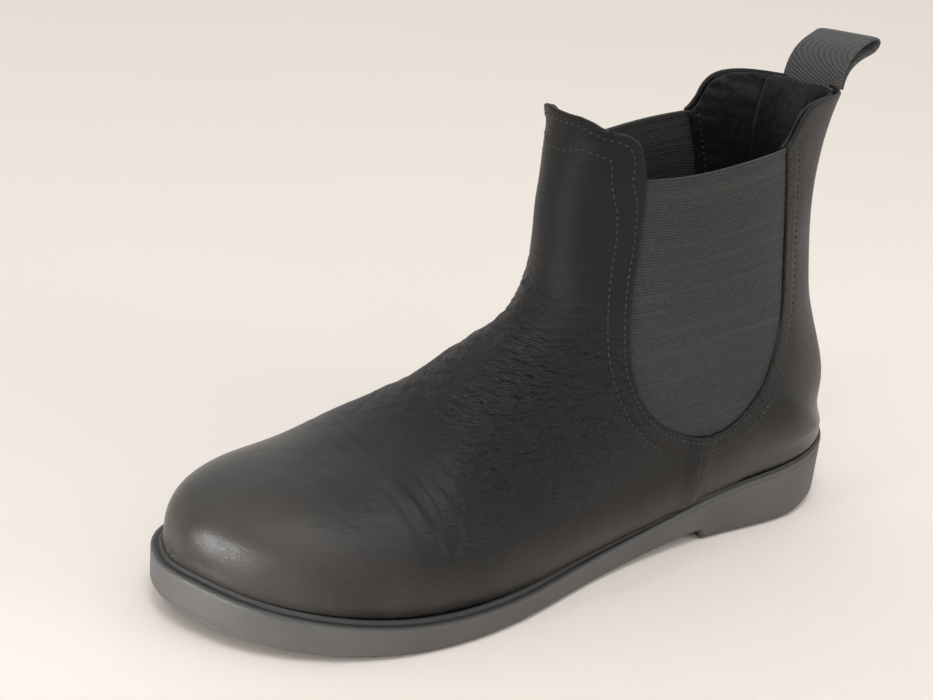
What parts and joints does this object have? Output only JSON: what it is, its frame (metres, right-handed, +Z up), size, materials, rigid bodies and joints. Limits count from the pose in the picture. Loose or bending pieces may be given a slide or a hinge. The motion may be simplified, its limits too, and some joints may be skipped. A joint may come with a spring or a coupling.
{
  "type": "chelsea boot",
  "caption": "Left ankle boot in black leather with elastic side gores, a woven pull loop at the back and a low rubber unit sole with a heel.",
  "frame": {"origin": "middle of the boot's footprint in X and Y, at the floor the heel and sole stand on", "axes": "+X from heel to toe, +Y to the outer (lateral) side of this left boot, +Z up"},
  "size_m": [0.2906, 0.1036, 0.1869],
  "materials": {
    "leather": "fine-grained black leather, semi-matt",
    "elastic": "ribbed black elastic",
    "webbing": "twill-woven dark grey webbing",
    "lining": "smooth black lining leather",
    "sock": "smooth black leather sock",
    "interlining": "woven cotton interlining",
    "stiffener": "thermoplastic stiffener sheet",
    "board": "pressed fibre board",
    "core": "moulded heel core",
    "cork": "cork filler",
    "steel": "spring steel",
    "sole_rubber": "matt dark grey rubber",
    "thread": "black sewing thread"
  },
  "bodies": {
    "foot_part": {"outsole": "sole_rubber", "heel_core": "core", "forefoot_filler": "cork", "shank": "steel", "insole_board": "board", "sock_lining": "sock", "vamp": "leather", "vamp_interlining": "interlining", "vamp_lining": "lining", "toe_puff": "stiffener", "heel_counter": "stiffener", "vamp_stitching": "thread", "seam_stitching": "thread"},
    "shaft_back": {"quarter_lateral": "leather", "quarter_medial": "leather", "gore_lateral": "elastic", "gore_medial": "elastic", "quarter_lining_lateral": "lining", "quarter_lining_medial": "lining", "quarter_interlining": "interlining", "back_strip": "lining", "pull_tab_ends": "webbing", "quarter_stitching": "thread", "lining_stitching": "thread"},
    "pull_loop": {"pull_tab": "webbing"}
  },
  "joints": [
    {"name": "shaft_open", "type": "hinge", "parent": "foot_part", "child": "shaft_back", "pos_m": [-0.1347, -0.00081, 0.03001], "axis": [0, -1, 0], "range_deg": [0, 4], "stiffness_Nm_per_rad": 20, "deforming": ["quarter_lateral", "quarter_medial", "gore_lateral", "gore_medial", "quarter_lining_lateral", "quarter_lining_medial", "quarter_interlining", "back_strip", "quarter_stitching", "lining_stitching"]},
    {"name": "pull_tab_swing", "type": "hinge", "parent": "shaft_back", "child": "pull_loop", "pos_m": [-0.1227, -0.00801, 0.17041], "axis": [-0.454, 0.891, 0], "range_deg": [-35, 90], "stiffness_Nm_per_rad": 0.02}
  ]
}
